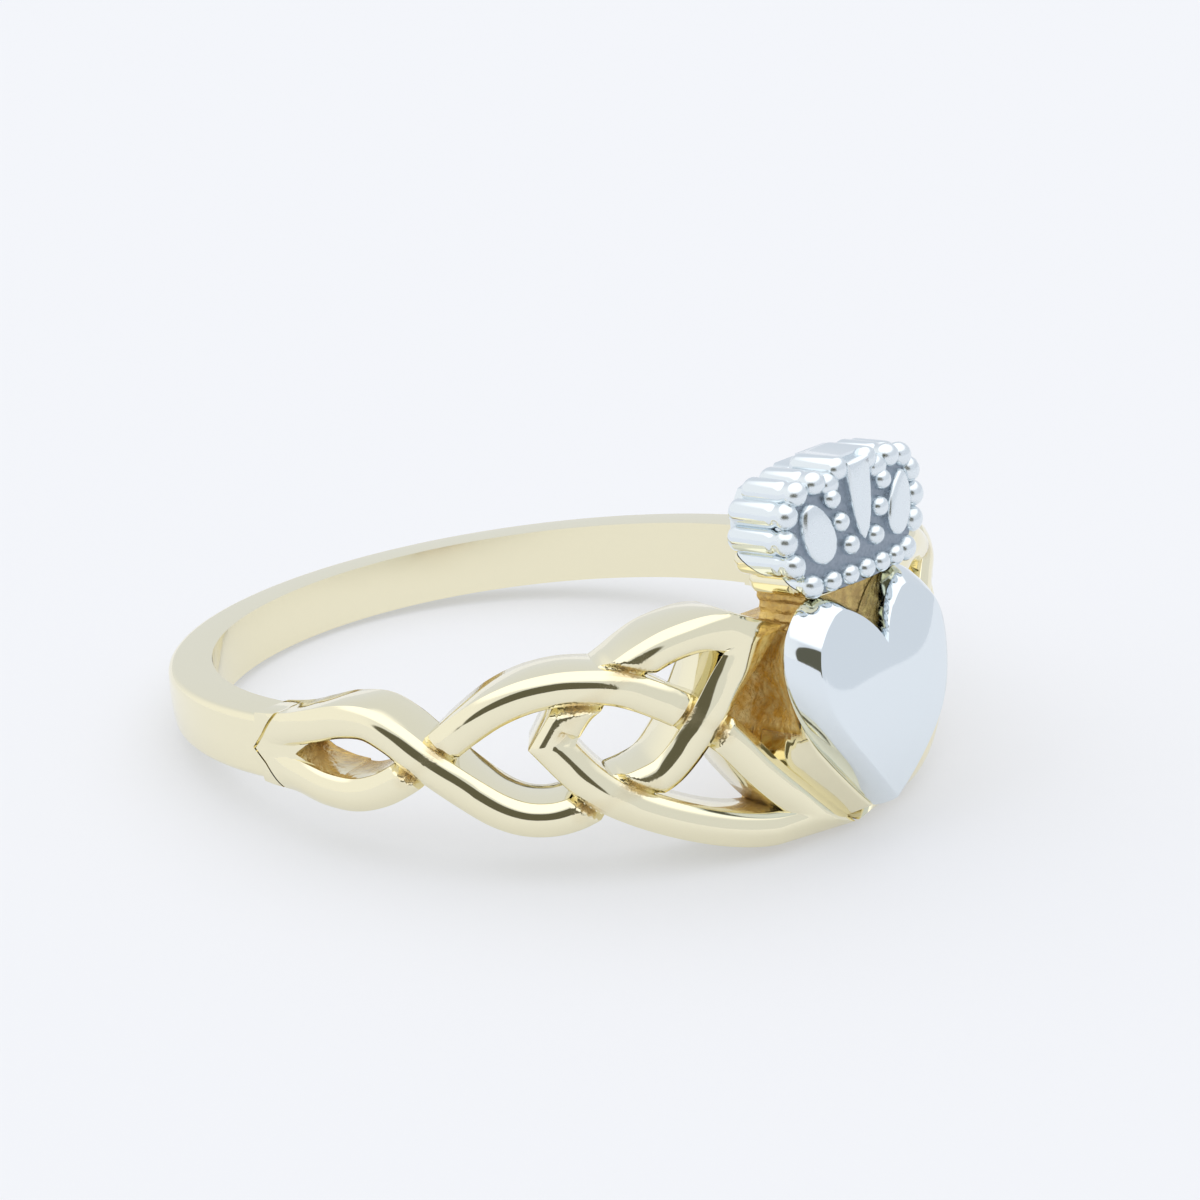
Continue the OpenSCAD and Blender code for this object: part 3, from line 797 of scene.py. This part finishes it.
def slope_box(s, marks, gap):
    """Everything below the slope that parts the crown's white gold from its yellow foot."""
    far = 40  # mm, past everything
    turn = math.atan2(s.foot_h, s.crown_face - (FINGER_R + s.band_t))
    box = prism("below", [(-far, -far), (far, -far), (far, 0), (-far, 0)], -far, far)
    box.data.transform(Matrix.Translation((0, -s.crown_face, marks["foot_z"] - gap)) @ Matrix.Rotation(turn, 4, "X"))
    return box


def bead(s, spot):
    """A round bead of the crown's face."""
    r = s.bead_r
    front = math.sqrt(s.crown_face**2 - spot[0] ** 2) + 0.02
    rows = [(-(front + r * math.sin(t)), r * math.cos(t)) for t in np.linspace(math.radians(-86), math.radians(86), 18)]
    return lathed("bead", rows, spot, sides=24)


# Materials


COLOUR_A, COLOUR_B, MIXED = 6, 7, 2  # a Mix node's sockets for colours


def fill(tree, node, inputs):
    """Gives a node's inputs, by name or index, each a socket to link or a value to hold."""
    for key, value in inputs.items():
        if isinstance(value, bpy.types.NodeSocket):
            tree.links.new(value, node.inputs[key])
        else:
            node.inputs[key].default_value = value


def add(tree, kind, output, inputs=None, **settings):
    """Adds a node with its inputs and settings, and gives one of its outputs."""
    node = tree.nodes.new(kind)
    for name, value in settings.items():
        setattr(node, name, value)
    fill(tree, node, inputs or {})
    return node.outputs[output]


def finished(name, inputs):
    """A new material, with values for its shader's inputs."""
    material = bpy.data.materials.new(name)
    material.use_nodes = True
    fill(material.node_tree, material.node_tree.nodes["Principled BSDF"], inputs)
    return material


def metal(name, base, roughness):
    """A bare metal's material, its node tree, its shader and the place that is shaded."""
    material = finished(name, {"Metallic": 1.0, "Base Color": base, "Roughness": roughness})
    tree = material.node_tree
    return material, tree, tree.nodes["Principled BSDF"], add(tree, "ShaderNodeTexCoord", "Object")


def cells(grain):
    """A noise's scale for a grain in mm, on the part's own metres."""
    return 1 / (grain * MM)


def polished(name, base, roughness, wave, scratch):
    """Wheel polished metal: a slow wave left by the wheel, and hairlines that soften its mirror."""
    material, tree, shader, spot = metal(name, base, roughness)
    waves = add(tree, "ShaderNodeTexNoise", "Fac", {"Vector": spot, "Scale": cells(1.6), "Detail": 1.0})
    hairs = add(tree, "ShaderNodeTexNoise", "Fac", {"Vector": spot, "Scale": cells(0.09), "Detail": 3.0})
    spans = {"To Min": roughness * 0.7, "To Max": roughness * 1.4}
    spread = add(tree, "ShaderNodeMapRange", "Result", {"Value": hairs, **spans})
    wavy = add(tree, "ShaderNodeBump", "Normal", {"Height": waves, "Distance": wave * MM, "Strength": 1.0})
    lined = {"Height": hairs, "Distance": scratch * MM, "Strength": 1.0, "Normal": wavy}
    fill(tree, shader, {"Roughness": spread, "Normal": add(tree, "ShaderNodeBump", "Normal", lined)})
    return material


def yellow_gold():
    """14 carat yellow gold: a pale warm mirror where the wheel reached, and rough, dark amber with
    bright specks where the metal is as it left the mould, under a thin skin that scatters light.
    In the seat's recess the cast gold is paler, painted light that lifts the recess's shade."""
    material, tree, shader, spot = metal("yellow_gold_14_carat", colours().yellow_gold, 0.07)
    # The cast share runs to 2 in the seat's recess; the share over 1 paints the gold paler, painted light that lifts
    # the recess's shade.
    raw = add(tree, "ShaderNodeAttribute", "Fac", attribute_name="cast")
    waves, grit, specks = (
        add(tree, "ShaderNodeTexNoise", "Fac", {"Vector": spot, "Scale": cells(grain), "Detail": detail})
        for grain, detail in ((1.6, 1.0), (0.14, 3.0), (0.3, 2.0))
    )
    patch = add(tree, "ShaderNodeMapRange", "Result", {"Value": specks, "From Min": 0.35, "From Max": 0.65})
    # Cast amber, and a paler cast gold for the seat's recess that is painted light, lifting the recess's shade.
    amber, painted_light_gold = (
        add(tree, "ShaderNodeMix", MIXED, {"Factor": patch, COLOUR_A: dark, COLOUR_B: bright}, data_type="RGBA")
        for dark, bright in ((linear("#b58c38"), colours().cast_gold), (linear("#e8b854"), linear("#fbe3a0")))
    )
    # Painted light: the share over 1 brings in the paler recess colour.
    painted_light_share = add(tree, "ShaderNodeMapRange", "Result", {"Value": raw, "From Min": 1.0, "From Max": 2.0})
    colour = colours().yellow_gold
    cast = {"Factor": painted_light_share, COLOUR_A: amber, COLOUR_B: painted_light_gold}
    cast = add(tree, "ShaderNodeMix", MIXED, cast, data_type="RGBA")
    both = {"Factor": raw, COLOUR_A: colour, COLOUR_B: cast}
    both = add(tree, "ShaderNodeMix", MIXED, both, data_type="RGBA")
    spread = add(tree, "ShaderNodeMapRange", "Result", {"Value": raw, "To Min": 0.07, "To Max": 0.3})
    bare = {"Value": raw, "From Max": 2.0, "To Min": 1.0, "To Max": 0.1}
    bare = add(tree, "ShaderNodeMapRange", "Result", bare)
    wavy = add(tree, "ShaderNodeBump", "Normal", {"Height": waves, "Distance": 0.006 * MM, "Strength": 1.0})
    gritty = {"Height": grit, "Distance": 0.06 * MM, "Strength": raw, "Normal": wavy}
    gritty = add(tree, "ShaderNodeBump", "Normal", gritty)
    fill(tree, shader, {"Base Color": both, "Roughness": spread, "Metallic": bare, "Normal": gritty})
    return material


def white_gold():
    """Rhodium plated white gold, mirror polished: a clean cool mirror."""
    return polished("rhodium_white_gold", colours().white_gold, 0.06, 0.004, 0.0002)


def tumbled():
    """White gold of the crown's beads and petals, which no wheel reaches: a tumbled, softer shine."""
    return polished("tumbled_white_gold", colours().white_gold, 0.24, 0.004, 0.0001)


def oxide():
    """Oxidised white gold in the crown's sunken face: grey and dull, so the beads stand out."""
    material, tree, shader, spot = metal("oxidised_white_gold", colours().oxide, 0.42)
    grit = add(tree, "ShaderNodeTexNoise", "Fac", {"Vector": spot, "Scale": cells(0.08), "Detail": 4.0})
    grey = {"Factor": grit, COLOUR_A: linear("#838d99"), COLOUR_B: colours().oxide}
    grey = add(tree, "ShaderNodeMix", MIXED, grey, data_type="RGBA")
    gritty = add(tree, "ShaderNodeBump", "Normal", {"Height": grit, "Distance": 0.015 * MM, "Strength": 1.0})
    fill(tree, shader, {"Base Color": grey, "Normal": gritty})
    return material


# Operators


class RING_OT_band(bpy.types.Operator):
    """Makes the yellow gold band with its knots and the head's seat"""

    bl_idname = "ring.band"
    bl_label = "Band"

    def execute(self, context):
        s = sizes()
        strands = Strands(s)
        marks = crown_marks(s)
        knot = strands.knot()
        knot += [mirrored(part) for part in knot]
        foot = combined(crown_block(s, marks), [slope_box(s, marks, s.seam)], "INTERSECT")
        body = shank(s)
        cutters = knot_cutters(s, strands)
        cutters += [mirrored(part) for part in cutters]
        raw_parts = [as_cast(part) for part in (floor(s), rim(s), neck(s, marks["foot_z"]))]
        body = combined(body, knot + raw_parts + [foot])
        body = combined(body, cutters + [face_cylinder(FINGER_R)], "DIFFERENCE")
        # The cast finish: how much of it there is on the neck, in the window, in the web and at each
        # crossing, and where it ends, in mm from the ring's axis or middle and degrees from the head.
        neck_z, neck_raw, floor_r = 1.9, 0.85, FINGER_R + s.floor_t + 0.3
        window_a, window_z, window_r = (64, 84.5), 0.8, FINGER_R + s.band_t - 0.1
        web_a, web_z, web_r, web_raw = 15, -1.9, FINGER_R + s.floor_t + 0.5, 0.8
        near_r, near_blend, near_raw, top_share = 0.36, 0.24, 0.4, 0.4
        steps = KDTree(2 * len(strands.steps))
        for k, p in enumerate(strands.steps):
            steps.insert(p, 2 * k)
            steps.insert((-p[0], p[1], p[2]), 2 * k + 1)
        steps.balance()

        def raw_of(p, n, marked):
            r = math.hypot(p[0], p[1])
            a = math.degrees(math.atan2(abs(p[0]), -p[1]))
            if marked:
                if p[2] > neck_z:
                    return neck_raw
                # On the seat's floor the share is 2: painted light, a paler gold that lifts the recess's shade.
                if r < floor_r:
                    return 2.0
                # The cast wall beside the lobes also runs to 2, the same painted light.
                return 2 * float(smooth((p[2] - CAST_END) / 0.4) * smooth((RIM_TOP + p[1]) / 0.2))
            facing = (n[0] * p[0] + n[1] * p[1]) / r
            if window_a[0] < a < window_a[1] and abs(p[2]) < window_z and r < window_r and facing < 0.5:
                return 1.0
            if a < web_a and p[2] < web_z and r < web_r and facing < 0.6:
                return web_raw
            near = smooth((near_r - steps.find(p)[2]) / near_blend)
            return near_raw * float(near) * (1 if facing < 0.8 else top_share)

        place(body, "gold_band", "band", [yellow_gold()], raw_of=raw_of)
        return {"FINISHED"}


class RING_OT_heart(bpy.types.Operator):
    """Makes the mirror polished white gold heart"""

    bl_idname = "ring.heart"
    bl_label = "Heart"

    def execute(self, context):
        s = sizes()
        outline = heart_outline(s)
        mid = heart_mid(s)
        # Share of the half width that the flank takes up, share of it that is straight, height in mm
        # of the upright foot, and share of the dome that the flank climbs.
        flank, slant, foot, climb = 0.125, 0.68, 0.08, 0.48
        rise = s.heart_edge - foot + climb * s.heart_dome
        rows = [(1.0, 0.0), (1.0, foot)]
        for share in np.linspace(0.04, 1, 26):
            t = share * math.pi / 2
            inwards = slant * share + (1 - slant) * (1 - math.cos(t))
            rows.append((1 - flank * inwards, foot + rise * (slant * share + (1 - slant) * math.sin(t))))
        for keep in np.linspace(1 - flank, 0.0, 26)[1:-1]:
            rows.append((keep, foot + rise))
        crown = s.heart_dome + s.heart_edge - foot - rise

        def height(point, base):
            u = point[0] / HEART_R
            v = (point[1] - mid[1]) / (mid[1] + s.heart_drop)
            return base + crown * max(0.0, 1 - u**4) * max(0.0, 1 - v * v) * min(1.0, base / s.heart_edge)

        rings = []
        for keep, base in rows:
            rings.append([(p[0], -(s.heart_seat + height(p, base)), p[1]) for p in mid + (outline - mid) * keep])
        made = lofted("heart", rings, (0, -(s.heart_seat + s.heart_dome + s.heart_edge), mid[1]))
        place(made, "white_heart", "heart", [white_gold()], crease=50)
        return {"FINISHED"}


class RING_OT_crown(bpy.types.Operator):
    """Makes the white gold crown with its ridges, beads and petals"""

    bl_idname = "ring.crown"
    bl_label = "Crown"

    def execute(self, context):
        s = sizes()
        marks = crown_marks(s)
        block = combined(crown_block(s, marks), [slope_box(s, marks, 0)], "DIFFERENCE")
        extras = petals(s, marks)
        for spot in marks["beads"]:
            made = bead(s, spot)
            extras.append(made)
            if spot[0] > 0:
                extras.append(mirrored(made))
        block = combined(block, extras)

        def finish_of(c, n):
            r = math.hypot(c[0], c[1])
            if abs(r - s.crown_face) < 0.02 and n[1] < -0.8:
                return 1
            return 2 if r > s.crown_face else 0

        finishes = [white_gold(), oxide(), tumbled()]
        place(block, "white_crown", "crown", finishes, finish_of)
        return {"FINISHED"}


# The camera's place round the ring's middle in the photo, where the ring leans a little more.
PHOTO_LEAN = 9.36917768
CAMERA_AZIMUTH, CAMERA_ELEVATION = -46.9256583, 21.8661426
CAMERA_DISTANCE, CAMERA_RIGHT, CAMERA_UP = 100.0, 1.73999110, 1.06074639
CAMERA_LENS = 111.305
PAPER_PAINTED_GLOW = 0.45  # painted glow: the paper's emission, which lifts the ring's shadow on it and lights the ring from below
GAP_AHEAD = 0.5  # the tent's dark gap lies within 60 degrees of straight ahead


def photo_camera():
    """The camera's matrix in the part's frame, from its place round the ring in the photo."""
    a, e = math.radians(CAMERA_AZIMUTH), math.radians(CAMERA_ELEVATION)
    back = Vector((math.sin(a) * math.cos(e), -math.cos(a) * math.cos(e), math.sin(e)))
    right = Vector((math.cos(a), math.sin(a), 0))
    up = back.cross(right)
    matrix = Matrix((right, up, back)).transposed().to_4x4()
    matrix.translation = (back * CAMERA_DISTANCE + right * CAMERA_RIGHT + up * CAMERA_UP) * MM
    return LAID @ Matrix.Rotation(math.radians(PHOTO_LEAN), 4, "X") @ matrix


class RING_OT_studio(bpy.types.Operator):
    """Sets the paper, the light tent and the camera"""

    bl_idname = "ring.studio"
    bl_label = "Studio"

    def execute(self, context):
        scene = context.scene
        data = bpy.data.cameras.new("camera")
        data.lens, data.sensor_width = CAMERA_LENS, 36
        data.clip_start, data.clip_end = 0.005, 10
        camera = bpy.data.objects.new("camera", data)
        camera.matrix_world = photo_camera()
        scene.collection.objects.link(camera)
        scene.camera = camera

        # Painted glow: the paper's emission lifts the ring's shadow on it and lights the ring from below.
        paper = finished("paper_with_painted_glow", {
            "Base Color": colours().paper,
            "Roughness": 0.9,
            "Specular IOR Level": 0.1,
            "Emission Color": (0.85, 0.865, 0.895, 1),
            "Emission Strength": PAPER_PAINTED_GLOW,
        })
        far = 1.5
        mesh = bpy.data.meshes.new("paper_floor")
        mesh.from_pydata([(-far, -far, 0), (far, -far, 0), (far, far, 0), (-far, far, 0)], [], [(0, 1, 2, 3)])
        mesh.materials.append(paper)
        sheet = bpy.data.objects.new("paper_floor", mesh)
        scene.collection.objects.link(sheet)

        self.tent(scene)
        scene.view_settings.view_transform = "Standard"
        scene.view_settings.look = "None"
        return {"FINISHED"}

    def tent(self, scene):
        """A white light tent: bright overhead, paler walls, and the dark gap that the lens looks through."""
        world = bpy.data.worlds.new("light_tent")
        scene.world = world
        world.use_nodes = True
        tree = world.node_tree
        background = tree.nodes["Background"]
        ray = add(tree, "ShaderNodeTexCoord", "Generated")
        height = add(tree, "ShaderNodeSeparateXYZ", "Z", {"Vector": ray})
        view = photo_camera().to_3x3() @ Vector((0, 0, 1))
        azimuth = math.atan2(view.x, -view.y)
        side, front = (
            add(tree, "ShaderNodeVectorMath", "Value", {0: ray, 1: direction}, operation="DOT_PRODUCT")
            for direction in ((math.cos(azimuth), math.sin(azimuth), 0), (math.sin(azimuth), -math.cos(azimuth), 0))
        )
        roof, left = (
            add(tree, "ShaderNodeMapRange", "Result", spans, interpolation_type="SMOOTHSTEP")
            for spans in (
                {"Value": height, "From Min": 0.54, "From Max": 0.68},
                {"Value": side, "From Min": -0.25, "From Max": -0.8},
            )
        )
        walls = {"Factor": left, COLOUR_A: (0.765, 0.795, 0.845, 1), COLOUR_B: (0.98, 0.99, 1.0, 1)}
        walls = add(tree, "ShaderNodeMix", MIXED, walls, data_type="RGBA")
        light = {"Factor": roof, COLOUR_A: walls, COLOUR_B: (1.35, 1.35, 1.36, 1)}
        light = add(tree, "ShaderNodeMix", MIXED, light, data_type="RGBA")
        # The gap is an oval. Each row: the axis that it is measured on, its middle and half its width.
        squares = {}
        for k, (value, middle, reach) in enumerate(((side, -0.14, 0.56), (height, 0.14, 0.40))):
            off = add(tree, "ShaderNodeMath", 0, {0: value, 1: middle}, operation="SUBTRACT")
            part = add(tree, "ShaderNodeMath", 0, {0: off, 1: reach}, operation="DIVIDE")
            squares[k] = add(tree, "ShaderNodeMath", 0, {0: part, 1: part}, operation="MULTIPLY")
        total = add(tree, "ShaderNodeMath", 0, squares, operation="ADD")
        inside = add(tree, "ShaderNodeMapRange", "Result", {"Value": total, "From Min": 1.06, "From Max": 0.94})
        ahead = add(tree, "ShaderNodeMath", 0, {0: front, 1: GAP_AHEAD}, operation="GREATER_THAN")
        gap = add(tree, "ShaderNodeMath", 0, {0: inside, 1: ahead}, operation="MULTIPLY")
        dark = {"Factor": gap, COLOUR_A: light, COLOUR_B: (0.125, 0.12, 0.085, 1)}
        dark = add(tree, "ShaderNodeMix", MIXED, dark, data_type="RGBA")
        tree.links.new(dark, background.inputs["Color"])


class RING_PT_panel(bpy.types.Panel):
    """Lists the ring's pieces and sizes"""

    bl_label = "Claddagh Ring"
    bl_space_type = "VIEW_3D"
    bl_region_type = "UI"
    bl_category = "Ring"

    def draw(self, context):
        for step in STEPS:
            self.layout.operator(step.bl_idname)
        for group in (context.scene.ring_sizes, context.scene.ring_colours):
            box = self.layout.box()
            for name in group.bl_rna.properties.keys():
                if name not in ("rna_type", "name"):
                    box.prop(group, name)


STEPS = (RING_OT_studio, RING_OT_band, RING_OT_heart, RING_OT_crown)
CLASSES = (RingSizes, RingColours) + STEPS + (RING_PT_panel,)


def register():
    for cls in CLASSES:
        bpy.utils.register_class(cls)
    bpy.types.Scene.ring_sizes = bpy.props.PointerProperty(type=RingSizes)
    bpy.types.Scene.ring_colours = bpy.props.PointerProperty(type=RingColours)


def unregister():
    del bpy.types.Scene.ring_sizes
    del bpy.types.Scene.ring_colours
    for cls in reversed(CLASSES):
        bpy.utils.unregister_class(cls)


def main():
    register()
    bpy.ops.ring.studio()
    bpy.ops.ring.band()
    bpy.ops.ring.heart()
    bpy.ops.ring.crown()


if __name__ == "__main__":
    main()
